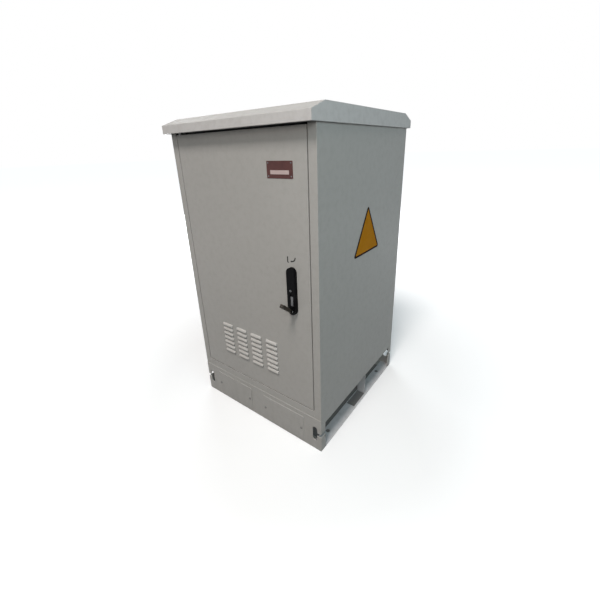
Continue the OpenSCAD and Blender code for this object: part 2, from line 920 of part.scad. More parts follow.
// Half of a rounded section, for the straight stretch and the round ends of an oblong
module half_section(w, t, r) {
    square([w / 2, t - r]);
    square([w / 2 - r, t]);
    translate([w / 2 - r, t - r]) circle(r);
}

// Oblong with a rounded front edge, standing out towards -Y from its back at the origin
module oblong(l, w, t, r) {
    straight = l - w;
    rotate([90, 0, 0]) {
        translate([0, straight / 2, 0]) rotate_extrude(angle = 180) half_section(w, t, r);
        translate([0, -straight / 2, 0]) rotate([0, 0, 180]) rotate_extrude(angle = 180)
            half_section(w, t, r);
        for (s = [0, 1]) mirror([s, 0, 0]) translate([0, straight / 2, 0]) rotate([90, 0, 0])
            linear_extrude(straight) half_section(w, t, r);
    }
}

module lock_plate() {
    edge = 3;
    color(black) difference() {
        translate([lock_x, front, lock_low + lock_l / 2]) oblong(lock_l, lock_w, head_t, edge);
        intersection() {
            rod_along_y(lock_x, front - head_t - cut, lock_z, arc_r, head_t - bed_t + cut);
            block([lock_x - lock_w, front - head_t - cut, lock_low - cut],
                  [lock_x + lock_w, bed_y, lock_z + arc_r + cut]);
        }
        rod_along_y(lock_x, bed_y - cut, lock_z, hub_r + hub_gap, recess_d + cut);
        rod_along_y(lock_x, bed_y - cut, recess_z, recess_w / 2, recess_d + cut);
        block([lock_x - recess_w / 2, bed_y - cut, lock_z], [lock_x + recess_w / 2, floor_y, recess_z]);
        rod_along_y(lock_x, front - head_t - cut, lock_z, shaft_d / 2 + run_clear, head_t + 2 * cut);
        rod_along_y(lock_x, front - head_t - cut, barrel_z, barrel_d / 2, head_t - sheet + cut);
        lock_screw_bores();
    }
}

module lock_back_plate() {
    boss_r = shaft_d / 2 + 6;
    color(zinc) difference() {
        union() {
            raise(lock_x, pan_in + back_t, lock_low + lock_l / 2, back_t)
                round_rect(lock_w, lock_l, 6);
            rod_along_y(lock_x, pan_in + back_t, lock_z, boss_r, back_boss);
        }
        rod_along_y(lock_x, front, lock_z, shaft_d / 2 + run_clear, back_boss + door_d);
        lock_screw_bores();
    }
}

module pop_out_spring() {
    spring_t = 1.2;
    spring_w = recess_w - 4;
    spring_l = 34;
    z0 = lock_z + hub_r + 4;
    color(steel) block([lock_x - spring_w / 2, floor_y - spring_t, z0],
                       [lock_x + spring_w / 2, floor_y, z0 + spring_l]);
}

module key_barrel() {
    proud = 0.8;
    color(zinc) difference() {
        rod_along_y(lock_x, front - head_t - proud, barrel_z, barrel_d / 2, head_t - sheet + proud);
        rod_along_y(lock_x, front - head_t - proud - cut, barrel_z, plug_d / 2 + run_clear,
                    head_t - 2 * sheet + proud + cut);
    }
}

module key_plug() {
    proud = 1.2;
    key_w = 1.6;
    key_h = 6.5;
    color(steel) difference() {
        rod_along_y(lock_x, front - head_t - proud, barrel_z, plug_d / 2,
                    head_t - 2 * sheet + proud - thrust);
        block([lock_x - key_w / 2, front - head_t - proud - cut, barrel_z - key_h / 2],
              [lock_x + key_w / 2, front - head_t + 6, barrel_z + key_h / 2]);
    }
}

pin_y = bed_y - lever_t / 2 - stow_clear;
ear_x = root_w / 2 + ear_gap;

module lever_hub() {
    face = floor_y - hub_gap - hub_t;
    color(zinc) difference() {
        union() {
            rod_along_y(lock_x, face, lock_z, hub_r, hub_t);
            rod_along_y(lock_x, face, lock_z, shaft_d / 2, cam_y - face);
            rod_along_y(lock_x, face, lock_z, cam_bore_r, cam_y + cam_t - face);
            for (s = [-1, 1]) translate([lock_x + s * (ear_x + ear_t / 2), 0, lock_z]) {
                block([-ear_t / 2, pin_y, -ear_r], [ear_t / 2, face, ear_r]);
                translate([-ear_t / 2, pin_y, 0]) rotate([0, 90, 0]) cylinder(r = ear_r, h = ear_t);
            }
        }
        translate([lock_x - hub_r, pin_y, lock_z]) rotate([0, 90, 0])
            cylinder(d = cross_pin_d, h = 2 * hub_r);
        rod_along_y(lock_x, cam_y + cam_t - cam_screw_l, lock_z, cam_screw_d / 2, cam_screw_l + cut);
    }
}

module lever_pin() {
    half = ear_x + ear_t;
    color(steel) translate([lock_x - half, pin_y, lock_z]) rotate([0, 90, 0])
        cylinder(d = cross_pin_d, h = 2 * half);
}

// Lever lying upright in its bed, with its pin at the origin
module stowed_lever() {
    root_r = 4.5;
    neck = 8;
    body_l = lever_l - neck;
    difference() {
        union() {
            translate([0, lever_t / 2, neck + body_l / 2]) oblong(body_l, lever_w, lever_t, 2.5);
            translate([-root_w / 2, 0, 0]) rotate([0, 90, 0]) cylinder(r = root_r, h = root_w);
            block([-root_w / 2, -lever_t / 2 + 1, 0], [root_w / 2, lever_t / 2 - 1, neck + lever_w / 2]);
        }
        translate([-root_w, 0, 0]) rotate([0, 90, 0])
            cylinder(d = cross_pin_d + 2 * run_clear, h = 2 * root_w);
    }
}

module lever() {
    color(black) translate([lock_x, pin_y, lock_z]) rotate([lever_out, 0, 0]) stowed_lever();
}

module cam_disc() {
    pin_l = rod_y + rod_t - cam_y - cam_t + 1;
    color(zinc) difference() {
        union() {
            rod_along_y(lock_x, cam_y, lock_z, cam_disc_r, cam_t);
            for (a = [-45, 135])
                rod_along_y(lock_x + cam_r * cos(a), cam_y + cam_t, lock_z + cam_r * sin(a),
                            cam_pin_d / 2, pin_l);
        }
        rod_along_y(lock_x, cam_y - cut, lock_z, cam_bore_r, cam_t + 2 * cut);
    }
}

module cam_screw() {
    cap_t = rod_y - cam_y - cam_t - rod_clear;
    color(steel) translate([lock_x, cam_y + cam_t, lock_z]) rotate([0, 0, 180])
        screw(cam_bore_r + 2, cap_t, cam_screw_d / 2, cam_screw_l);
}

module at_lock_screws() {
    for (z = lock_screw_z) translate([lock_x, 0, z]) children();
}

module lock_screws() {
    grip = back_t + sheet + lock_screw_bite;
    color(zinc) at_lock_screws() translate([0, pan_in + back_t, 0]) rotate([0, 0, 180])
        screw(lock_screw_d, lock_screw_d * 0.6, lock_screw_d / 2, grip);
}

module lock_screw_bores() {
    at_lock_screws() rod_along_y(0, front - lock_screw_bite, 0, lock_screw_d / 2,
                                 lock_screw_bite + sheet + back_t + cut);
}

// Rod with its yoke round a cam pin, running up or down from the pin's height at rest
module lock_rod(s, far_z) {
    x = lock_x + s * rod_in;
    pin_z = lock_z - s * cam_r * sin(45);
    slot_r = cam_pin_d / 2 + rod_clear;
    slide = cam_r * (1 - cos(45)) / 2;
    z0 = min(pin_z, far_z);
    z1 = max(pin_z, far_z);
    color(zinc) difference() {
        union() {
            block([x - rod_w / 2, rod_y, z0], [x + rod_w / 2, rod_y + rod_t, z1]);
            block([x - yoke_w / 2, rod_y, pin_z - yoke_h / 2],
                  [x + yoke_w / 2, rod_y + rod_t, pin_z + yoke_h / 2]);
        }
        for (e = [-1, 1]) rod_along_y(x + e * slide, rod_y - cut, pin_z, slot_r, rod_t + 2 * cut);
        block([x - slide, rod_y - cut, pin_z - slot_r], [x + slide, rod_y + rod_t + cut, pin_z + slot_r]);
    }
}

module upper_rod() {
    lock_rod(1, head_low - rod_tip);
}

module lower_rod() {
    lock_rod(-1, sill_lip_top + rod_tip);
}

module rod_guide(x, z) {
    room = rod_clear / 2;
    wide = rod_w / 2 + 6;
    foot = 18;
    difference() {
        union() {
            block([x - wide, pan_in, z], [x + wide, pan_in + sheet, z + foot]);
            block([x - wide, pan_in, z], [x + wide, rod_y + rod_t + 4, z + guide_t]);
        }
        block([x - rod_w / 2 - room, rod_y - room, z - cut],
              [x + rod_w / 2 + room, rod_y + rod_t + room, z + guide_t + cut]);
    }
}

module rod_guides() {
    color(zinc) {
        for (z = upper_guide_z) rod_guide(lock_x + rod_in, z);
        for (z = lower_guide_z) rod_guide(lock_x - rod_in, z);
    }
}

plinth_front_beam();
plinth_rear_beam();
plinth_left_rail();
plinth_right_rail();
plinth_cover_left();
plinth_cover_right();
plinth_cover_screws();
left_side_panel();
right_side_panel();
rear_panel();
floor_plate();
gland_plate();
cable_grommets();
sill();
head_rail();
top_plate();
door_seal();
roof_canopy();
roof_spacers();
roof_bolts();
rack_rail_front_left();
rack_rail_front_right();
rack_rail_rear_left();
rack_rail_rear_right();
rack_struts();
rack_bolts();
earth_bar();
earth_standoffs();
upper_hinge_bracket();
lower_hinge_bracket();
upper_hinge_pin();
lower_hinge_pin();
door_panel();
hinge_blocks();
upper_hinge_bush();
lower_hinge_bush();
door_stiffeners();
filter_frame();
filter_mat();
nameplate();
nameplate_rivets();
lock_plate();
lock_back_plate();
pop_out_spring();
key_barrel();
key_plug();
lever_hub();
lever_pin();
lever();
cam_disc();
cam_screw();
lock_screws();
upper_rod();
lower_rod();
rod_guides();
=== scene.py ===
import json
import math

import bpy
import bmesh
from mathutils import Matrix, Vector


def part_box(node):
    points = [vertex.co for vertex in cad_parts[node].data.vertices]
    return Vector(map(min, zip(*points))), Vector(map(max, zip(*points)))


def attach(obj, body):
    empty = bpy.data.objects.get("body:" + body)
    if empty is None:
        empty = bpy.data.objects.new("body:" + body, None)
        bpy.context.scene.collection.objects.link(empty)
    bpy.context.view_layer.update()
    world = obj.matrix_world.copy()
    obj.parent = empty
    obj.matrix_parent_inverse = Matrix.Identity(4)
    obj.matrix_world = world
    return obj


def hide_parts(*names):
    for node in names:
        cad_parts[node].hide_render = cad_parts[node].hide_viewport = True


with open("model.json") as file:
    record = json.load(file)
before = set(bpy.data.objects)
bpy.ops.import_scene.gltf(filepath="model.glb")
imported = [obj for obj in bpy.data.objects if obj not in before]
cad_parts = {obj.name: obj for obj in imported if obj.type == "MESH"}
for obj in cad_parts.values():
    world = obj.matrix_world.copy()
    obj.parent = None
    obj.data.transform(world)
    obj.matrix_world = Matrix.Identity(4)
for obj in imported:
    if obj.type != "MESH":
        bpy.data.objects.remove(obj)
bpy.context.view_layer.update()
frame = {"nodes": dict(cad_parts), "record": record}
nodes = frame["nodes"]
scene = bpy.context.scene
quarter = math.pi / 2
print("frame loaded:", len(nodes), "pieces")


# Node trees

class Wire:
    # one output of a node, with arithmetic that adds Math nodes
    def __init__(self, sheet, socket):
        self.sheet = sheet
        self.socket = socket

    def math(self, operation, *values):
        return self.sheet.node("ShaderNodeMath", {"operation": operation}, dict(enumerate(values)))

    def __add__(self, other):
        return self.math("ADD", self, other)

    def __sub__(self, other):
        return self.math("SUBTRACT", self, other)

    def __mul__(self, other):
        return self.math("MULTIPLY", self, other)

    def __truediv__(self, other):
        return self.math("DIVIDE", self, other)

    def __pow__(self, other):
        return self.math("POWER", self, other)


class Sheet:
    # a node tree, with one method that makes every node
    def __init__(self, tree):
        self.tree = tree

    def node(self, kind, settings=None, sockets=None, out=0):
        made = self.tree.nodes.new(kind)
        for key, value in (settings or {}).items():
            setattr(made, key, value)
        for key, value in (sockets or {}).items():
            if isinstance(value, Wire):
                self.tree.links.new(value.socket, made.inputs[key])
            elif isinstance(value, list):
                for wire in value:
                    self.tree.links.new(wire.socket, made.inputs[key])
            else:
                made.inputs[key].default_value = value
        return Wire(self, made.outputs[out] if made.outputs else None)

    def mix(self, factor, first, second, blend="MIX"):
        return self.node("ShaderNodeMix", {"data_type": "RGBA", "blend_type": blend},
                         {0: factor, 6: first, 7: second}, out=2)

    def noise(self, place, scale, detail=3, roughness=0.55, out=0):
        return self.node("ShaderNodeTexNoise", None, {
            "Vector": place, "Scale": scale, "Detail": detail, "Roughness": roughness}, out)

    def band(self, value, low, high, fromLow=0.0, fromHigh=1.0):
        # the value moved from one range to another, held at its ends
        return self.node("ShaderNodeMapRange", {"clamp": True}, {
            "Value": value, "From Min": fromLow, "From Max": fromHigh,
            "To Min": low, "To Max": high})

    def stretch(self, place, scale):
        return self.node("ShaderNodeMapping", None, {"Vector": place, "Scale": scale})

    def axis(self, vector, number):
        return self.node("ShaderNodeSeparateXYZ", None, {0: vector}, out=number)

    def trueNormal(self):
        return self.node("ShaderNodeNewGeometry", out="True Normal")

    def softNormal(self, radius):
        return self.node("ShaderNodeBevel", {"samples": 4}, {"Radius": radius})

    def facing(self, softNormal):
        # 1 on a flat face, less where the softened normal turns round an edge
        return self.node("ShaderNodeVectorMath", {"operation": "DOT_PRODUCT"},
                         {0: softNormal, 1: self.trueNormal()}, out="Value")

    def bump(self, height, strength, depth, normal=None):
        sockets = {"Strength": strength, "Distance": depth, "Height": height}
        if normal is not None:
            sockets["Normal"] = normal
        return self.node("ShaderNodeBump", None, sockets)


def rgba(colour):
    return (*colour, 1.0)


def newFinish(name):
    material = bpy.data.materials.new(name)
    material.use_nodes = True
    material.node_tree.nodes.clear()
    sheet = Sheet(material.node_tree)
    place = sheet.node("ShaderNodeTexCoord", out="Object")
    return material, sheet, place


def closeFinish(material, sheet, sockets):
    shader = sheet.node("ShaderNodeBsdfPrincipled", None, sockets)
    sheet.node("ShaderNodeOutputMaterial", None, {"Surface": shader})
    return material


# Finishes

# powder coat: dust is splashed up from the ground, faces that look upwards can take a painted tone
# that is painted light
paintSet = {
    "colour": (0.424, 0.427, 0.410), "pale": (0.446, 0.449, 0.432), "mottleScale": 2.6,
    "dust": (0.270, 0.262, 0.240), "dustTop": 0.18, "dustMost": 0.30, "streakScale": (30, 30, 2.2),
    "fineScale": 46, "speckMost": 0.22,
    "paintedUpward": 0.0, "paintedUpwardTone": (0.270, 0.262, 0.240), "paintedUpwardTilt": (0.15, 0.35),
    "edge": (0.640, 0.635, 0.615), "edgeWearAndHighlightMost": 0.55, "edgeRadius": 0.0022,
    "peelScale": 620, "peelStrength": 0.35, "peelDepth": 0.00012,
    "roughness": (0.35, 0.47), "specular": 0.22}
# the door's upward faces, its louvre hoods most, get a paler tone that is a painted highlight
doorPaintedHighlightSet = dict(paintSet, paintedUpward=0.48, paintedUpwardTone=(0.640, 0.630, 0.610))
# the roof is a lighter copy of the paint, painted light on its band and gable, with painted shade
# on its upward faces
roofPaintedLightSet = dict(paintSet, colour=(0.598, 0.601, 0.595), pale=(0.620, 0.623, 0.617), paintedUpward=0.62)
# the rails are a lighter, bluer copy of the paint, painted light where they lie in shade under the
# body
railPaintedLightSet = dict(paintSet, colour=(0.612, 0.632, 0.657), pale=(0.638, 0.658, 0.683), dustTop=0.01)


def paintFinish(name, s):
    material, sheet, place = newFinish(name)
    mottle = sheet.noise(place, s["mottleScale"], 4)
    fine = sheet.noise(place, s["fineScale"], 5, 0.65)
    streak = sheet.noise(sheet.stretch(place, s["streakScale"]), 1.0, 4, 0.6)
    splash = sheet.band(sheet.axis(place, 2), 1.0, 0.0, 0.0, s["dustTop"])
    dust = splash * sheet.band(streak, 0.0, s["dustMost"], 0.42, 0.75)
    upward = sheet.axis(sheet.trueNormal(), 2)
    # faces that look upwards take a painted tone: a painted highlight on the door, painted shade on
    # the roof
    paintedUpward = (sheet.band(upward, 0.0, s["paintedUpward"], *s["paintedUpwardTilt"])
               * sheet.band(mottle, 0.7, 1.0, 0.3, 0.7))
    softNormal = sheet.softNormal(s["edgeRadius"])
    # paler edges: partly worn coat, partly a painted highlight along folds and plate edges
    edge = (sheet.band(sheet.facing(softNormal), s["edgeWearAndHighlightMost"], 0.0, 0.72, 0.96)
            * sheet.band(fine, 0.5, 1.0, 0.3, 0.6))
    clouds = sheet.band(mottle, 0.0, 1.0, 0.3, 0.7)
    specks = sheet.band(fine, 0.0, s["speckMost"], 0.45, 0.8)
    colour = sheet.mix(clouds, rgba(s["colour"]), rgba(s["pale"]))
    colour = sheet.mix(specks, colour, rgba(s["dust"]))
    colour = sheet.mix(dust, colour, rgba(s["dust"]))
    colour = sheet.mix(paintedUpward, colour, rgba(s["paintedUpwardTone"]))
    colour = sheet.mix(edge, colour, rgba(s["edge"]))
    peel = sheet.noise(place, s["peelScale"], 2, 0.5)
    return closeFinish(material, sheet, {
        "Base Color": colour, "Specular IOR Level": s["specular"],
        "Roughness": sheet.band(fine, *s["roughness"], 0.3, 0.7),
        "Normal": sheet.bump(peel, s["peelStrength"], s["peelDepth"], softNormal)})


zincSet = {
    "colour": (0.560, 0.575, 0.590), "dark": (0.400, 0.415, 0.435),
    "flakeScale": 120, "flakeMost": 0.55, "wanderScale": 40, "wander": 0.012,
    "grimeScale": 9, "grimeMost": 0.45, "edgeRadius": 0.0006,
    "scratchScale": (900, 900, 26), "scratchStrength": 0.15, "scratchDepth": 0.0001,
    "roughness": (0.27, 0.44)}
dullZincSet = dict(zincSet, colour=(0.230, 0.228, 0.222), dark=(0.150, 0.149, 0.146))


def zincFinish(name, s):
    material, sheet, place = newFinish(name)
    wander = sheet.noise(place, s["wanderScale"], 3, out=1)
    jogged = sheet.mix(s["wander"], place, wander, "ADD")
    flake = sheet.node("ShaderNodeTexVoronoi", None,
                       {"Vector": jogged, "Scale": s["flakeScale"]}, out="Color")
    tone = sheet.node("ShaderNodeSeparateColor", None, {0: flake})
    grime = sheet.noise(place, s["grimeScale"], 5, 0.6)
    soiled = sheet.band(grime, 0.0, s["grimeMost"], 0.5, 0.8)
    colour = sheet.mix(tone * s["flakeMost"], rgba(s["colour"]), rgba(s["dark"]))
    colour = sheet.mix(soiled, colour, rgba(s["dark"]))
    scratch = sheet.noise(sheet.stretch(place, s["scratchScale"]), 1.0, 2)
    softNormal = sheet.softNormal(s["edgeRadius"])
    return closeFinish(material, sheet, {
        "Base Color": colour, "Metallic": 1.0,
        "Roughness": sheet.band(tone + grime * 0.5, *s["roughness"], 0.1, 1.2),
        "Normal": sheet.bump(scratch, s["scratchStrength"], s["scratchDepth"], softNormal)})


steelSet = {
    "colour": (0.600, 0.600, 0.595), "dark": (0.360, 0.360, 0.360), "brush": (60, 60, 1400),
    "brushMost": 0.5, "brushStrength": 0.2, "brushDepth": 0.00005,
    "stainScale": 30, "stainMost": 0.5, "edgeRadius": 0.0005, "roughness": (0.22, 0.36)}
copperSet = dict(steelSet, colour=(0.760, 0.370, 0.215), dark=(0.300, 0.130, 0.080),
                 brush=(40, 900, 900), roughness=(0.24, 0.48))
darkSteelSet = dict(steelSet, colour=(0.150, 0.150, 0.155), dark=(0.060, 0.060, 0.063),
                    roughness=(0.38, 0.55))


def brushedFinish(name, s):
    material, sheet, place = newFinish(name)
    brush = sheet.noise(sheet.stretch(place, s["brush"]), 1.0, 3, 0.6)
    stain = sheet.noise(place, s["stainScale"], 4, 0.6)
    lines = sheet.band(brush, 0.0, s["brushMost"], 0.35, 0.75)
    soiled = sheet.band(stain, 0.0, s["stainMost"], 0.5, 0.8)
    colour = sheet.mix(lines, rgba(s["colour"]), rgba(s["dark"]))
    colour = sheet.mix(soiled, colour, rgba(s["dark"]))
    softNormal = sheet.softNormal(s["edgeRadius"])
    return closeFinish(material, sheet, {
        "Base Color": colour, "Metallic": 1.0,
        "Roughness": sheet.band(brush + stain * 0.5, *s["roughness"], 0.4, 1.0),
        "Normal": sheet.bump(brush, s["brushStrength"], s["brushDepth"], softNormal)})


# the lock's black coat and the lever's brown one, worn at their edges
lockSet = {
    "colour": (0.0035, 0.0035, 0.0040), "worn": (0.018, 0.018, 0.019), "wornMost": 0.8,
    "edgeRadius": 0.0010, "smearScale": 70, "grainScale": 1500, "grainStrength": 0.25,
    "grainDepth": 0.00006, "roughness": (0.34, 0.52), "specular": 0.04}
leverSet = dict(lockSet, colour=(0.026, 0.021, 0.016), worn=(0.090, 0.080, 0.066),
                edgeRadius=0.0012, grainScale=1100, roughness=(0.30, 0.48), specular=0.22)


def enamelFinish(name, s):
    material, sheet, place = newFinish(name)
    grain = sheet.noise(place, s["grainScale"], 2)
    smear = sheet.noise(place, s["smearScale"], 4, 0.6)
    softNormal = sheet.softNormal(s["edgeRadius"])
    edge = (sheet.band(sheet.facing(softNormal), s["wornMost"], 0.0, 0.70, 0.97)
            * sheet.band(smear, 0.2, 1.0, 0.35, 0.65))
    return closeFinish(material, sheet, {
        "Base Color": sheet.mix(edge, rgba(s["colour"]), rgba(s["worn"])),
        "Specular IOR Level": s["specular"],
        "Roughness": sheet.band(smear, *s["roughness"], 0.3, 0.7),
        "Normal": sheet.bump(grain, s["grainStrength"], s["grainDepth"], softNormal)})


rubberSet = {
    "colour": (0.016, 0.016, 0.017), "bloom": (0.060, 0.060, 0.062), "bloomScale": 55,
    "bloomMost": 0.7, "poreScale": 420, "poreStrength": 0.3, "poreDepth": 0.0002,
    "roughness": (0.62, 0.85)}
nylonSet = dict(rubberSet, colour=(0.030, 0.030, 0.031), bloom=(0.070, 0.070, 0.072),
                poreScale=900, roughness=(0.42, 0.60))


def mouldedFinish(name, s):
    material, sheet, place = newFinish(name)
    pore = sheet.node("ShaderNodeTexVoronoi", None, {"Vector": place, "Scale": s["poreScale"]})
    bloom = sheet.noise(place, s["bloomScale"], 5, 0.65)
    clouds = sheet.band(bloom, 0.0, s["bloomMost"], 0.45, 0.8)
    return closeFinish(material, sheet, {
        "Base Color": sheet.mix(clouds, rgba(s["colour"]), rgba(s["bloom"])),
        "Roughness": sheet.band(bloom, *s["roughness"], 0.3, 0.7),
        "Normal": sheet.bump(pore, s["poreStrength"], s["poreDepth"])})


brownSet = {
    "colour": (0.100, 0.037, 0.034), "dark": (0.062, 0.024, 0.023), "cloudScale": 38,
    "cloudMost": 0.8, "brush": (1200, 1200, 30), "brushMost": 0.3, "brushStrength": 0.15,
    "brushDepth": 0.00005, "roughness": (0.30, 0.46), "specular": 0.25}


def lacquerFinish(name, s):
    material, sheet, place = newFinish(name)
    brush = sheet.noise(sheet.stretch(place, s["brush"]), 1.0, 3)
    cloud = sheet.noise(place, s["cloudScale"], 4, 0.6)
    clouds = sheet.band(cloud, 0.0, s["cloudMost"], 0.35, 0.75)
    lines = sheet.band(brush, 0.0, s["brushMost"], 0.5, 0.8)
    colour = sheet.mix(clouds, rgba(s["colour"]), rgba(s["dark"]))
    colour = sheet.mix(lines, colour, rgba(s["dark"]))
    return closeFinish(material, sheet, {
        "Base Color": colour, "Specular IOR Level": s["specular"],
        "Roughness": sheet.band(cloud, *s["roughness"], 0.3, 0.7),
        "Normal": sheet.bump(brush, s["brushStrength"], s["brushDepth"])})


feltSet = {
    "colour": (0.260, 0.270, 0.280), "dark": (0.090, 0.095, 0.100), "curlScale": 90, "curl": 0.02,
    "fibreScale": 520, "fibreStretch": (1.0, 1.0, 0.18), "fibreStrength": 0.8,
    "fibreDepth": 0.0008, "dirtScale": 22, "dirtMost": 0.5, "roughness": (0.80, 0.97)}


def feltFinish(name, s):
    material, sheet, place = newFinish(name)
    curl = sheet.noise(place, s["curlScale"], 3, out=1)
    jogged = sheet.mix(s["curl"], place, curl, "ADD")
    fibre = sheet.noise(sheet.stretch(jogged, s["fibreStretch"]), s["fibreScale"], 3, 0.6)
    dirt = sheet.noise(place, s["dirtScale"], 4, 0.6)
    between = sheet.band(fibre, 1.0, 0.0, 0.35, 0.7)
    soiled = sheet.band(dirt, 0.0, s["dirtMost"], 0.45, 0.8)
    colour = sheet.mix(between, rgba(s["colour"]), rgba(s["dark"]))
    colour = sheet.mix(soiled, colour, rgba(s["dark"]))
    return closeFinish(material, sheet, {
        "Base Color": colour,
        "Roughness": sheet.band(fibre, *s["roughness"], 0.3, 0.7),
        "Normal": sheet.bump(fibre, s["fibreStrength"], s["fibreDepth"])})


# amber sheeting of fine cells; its rim, the printed marks and the pale strip are made alike
amberSet = {
    "colour": (0.640, 0.268, 0.010), "deep": (0.520, 0.200, 0.007), "fadeScale": 24,
    "fadeMost": 0.6, "cellScale": 300, "cellRandom": 0.15, "cellStrength": 0.2,
    "cellDepth": 0.0001, "seam": 0.09, "seamMost": 0.35,
    "roughness": (0.34, 0.48), "specular": 0.01}
rimSet = dict(amberSet, colour=(0.026, 0.014, 0.007), deep=(0.016, 0.009, 0.005),
              cellScale=700, roughness=(0.39, 0.53))
printSet = dict(amberSet, colour=(0.012, 0.012, 0.013), deep=(0.024, 0.024, 0.025),
                cellScale=1300, roughness=(0.49, 0.63), specular=0.15)
stripSet = dict(amberSet, colour=(0.580, 0.480, 0.465), deep=(0.470, 0.385, 0.372),
                cellScale=900, roughness=(0.44, 0.58), specular=0.25)


def sheetingFinish(name, s):
    material, sheet, place = newFinish(name)
    cell = sheet.node("ShaderNodeTexVoronoi", {"feature": "DISTANCE_TO_EDGE"}, {
        "Vector": place, "Scale": s["cellScale"], "Randomness": s["cellRandom"]})
    fade = sheet.noise(place, s["fadeScale"], 4, 0.6)
    seam = sheet.band(cell, 1.0, 0.0, 0.0, s["seam"])
    clouds = sheet.band(fade, 0.0, s["fadeMost"], 0.35, 0.75)
    colour = sheet.mix(clouds, rgba(s["colour"]), rgba(s["deep"]))
    colour = sheet.mix(seam * s["seamMost"], colour, rgba(s["deep"]))
    return closeFinish(material, sheet, {
        "Base Color": colour, "Specular IOR Level": s["specular"],
        "Roughness": sheet.band(fade, *s["roughness"], 0.3, 0.7),
        "Normal": sheet.bump(cell, s["cellStrength"], s["cellDepth"])})


paint = paintFinish("greyPowderCoat", paintSet)
doorPaintedHighlight = paintFinish("doorCoatPaintedHighlight", doorPaintedHighlightSet)
roofPaintedLight = paintFinish("roofCoatPaintedLight", roofPaintedLightSet)
railPaintedLight = paintFinish("railCoatPaintedLight", railPaintedLightSet)
zinc = zincFinish("zincPlate", zincSet)
dullZinc = zincFinish("dullZinc", dullZincSet)
steel = brushedFinish("stainlessSteel", steelSet)
copper = brushedFinish("bareCopper", copperSet)
darkSteel = brushedFinish("darkSteel", darkSteelSet)
lockBlack = enamelFinish("blackLockCoat", lockSet)
leverBrown = enamelFinish("leverEnamel", leverSet)
rubber = mouldedFinish("spongeRubber", rubberSet)
nylon = mouldedFinish("blackNylon", nylonSet)
brownPlate = lacquerFinish("brownLacquer", brownSet)
felt = feltFinish("filterFelt", feltSet)
amber = sheetingFinish("amberSheeting", amberSet)
darkRim = sheetingFinish("darkRim", rimSet)
printBlack = sheetingFinish("screenPrint", printSet)
paleStrip = sheetingFinish("paleStrip", stripSet)

finishOfSlot = {
    "paint": paint, "zinc": zinc, "steel": steel, "copper": copper, "lock_black": lockBlack,
    "rubber": rubber, "nylon": nylon, "brown_plate": brownPlate, "filter": felt}
finishOfNode = {
    "lever": leverBrown, "pop_out_spring": darkSteel, "key_plug": darkSteel,
    "nameplate_rivets": darkSteel, "door_panel": doorPaintedHighlight, "roof_canopy": roofPaintedLight,
    "plinth_left_rail": railPaintedLight, "plinth_right_rail": railPaintedLight}
for row in frame["record"]["subparts"]:
    mesh = nodes[row["node"]].data
    mesh.materials.clear()
    mesh.materials.append(finishOfNode.get(row["node"], finishOfSlot[row["material_slot"]]))


# Pieces

def newPiece(name, mesh, body, replaced=()):
    piece = bpy.data.objects.new(name, mesh)
    scene.collection.objects.link(piece)
    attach(piece, body)
    if replaced:
        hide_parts(*replaced)
    return piece


def newTree(name, inputs):
    tree = bpy.data.node_groups.new(name, "GeometryNodeTree")
    socket = tree.interface.new_socket
    socket(name="Geometry", in_out="OUTPUT", socket_type="NodeSocketGeometry")
    socket(name="Points", in_out="INPUT", socket_type="NodeSocketGeometry")
    for label, kind in inputs.items():
        socket(name=label, in_out="INPUT", socket_type="NodeSocket" + kind)
    sheet = Sheet(tree)
    entry = tree.nodes.new("NodeGroupInput")
    return tree, sheet, {given.name: Wire(sheet, given) for given in entry.outputs if given.name}


def endTree(sheet, geometry, material):
    real = sheet.node("GeometryNodeRealizeInstances", None, {0: geometry})
    dressed = sheet.node("GeometryNodeSetMaterial", None, {"Geometry": real, "Material": material})
    sheet.node("NodeGroupOutput", None, {0: dressed})


def grown(name, tree, points, values):
    # runs a geometry tree on loose points and returns the plain mesh that it makes
    seeds = bpy.data.meshes.new(name + "Seeds")
    seeds.from_pydata([tuple(p) for p in points], [], [])
    holder = bpy.data.objects.new(name + "Holder", seeds)
    scene.collection.objects.link(holder)
    modifier = holder.modifiers.new("grow", "NODES")
    modifier.node_group = tree
    for item in tree.interface.items_tree:
        if item.in_out == "INPUT" and item.name in values:
            modifier[item.identifier] = values[item.name]
    ready = holder.evaluated_get(bpy.context.evaluated_depsgraph_get())
    mesh = bpy.data.meshes.new_from_object(ready)
    holder.modifiers.remove(modifier)
    bpy.data.objects.remove(holder)
    mesh.name = name
    return mesh


# Button screws: a chamfered head with a hexagon socket, and its shank
# skirt and socketReach are shares of the head's height, crown and socket of its radius
screwSet = {"sides": 28, "stemSides": 20, "skirt": 0.5, "crown": 0.7, "socket": 0.46,
            "socketReach": 1.1}


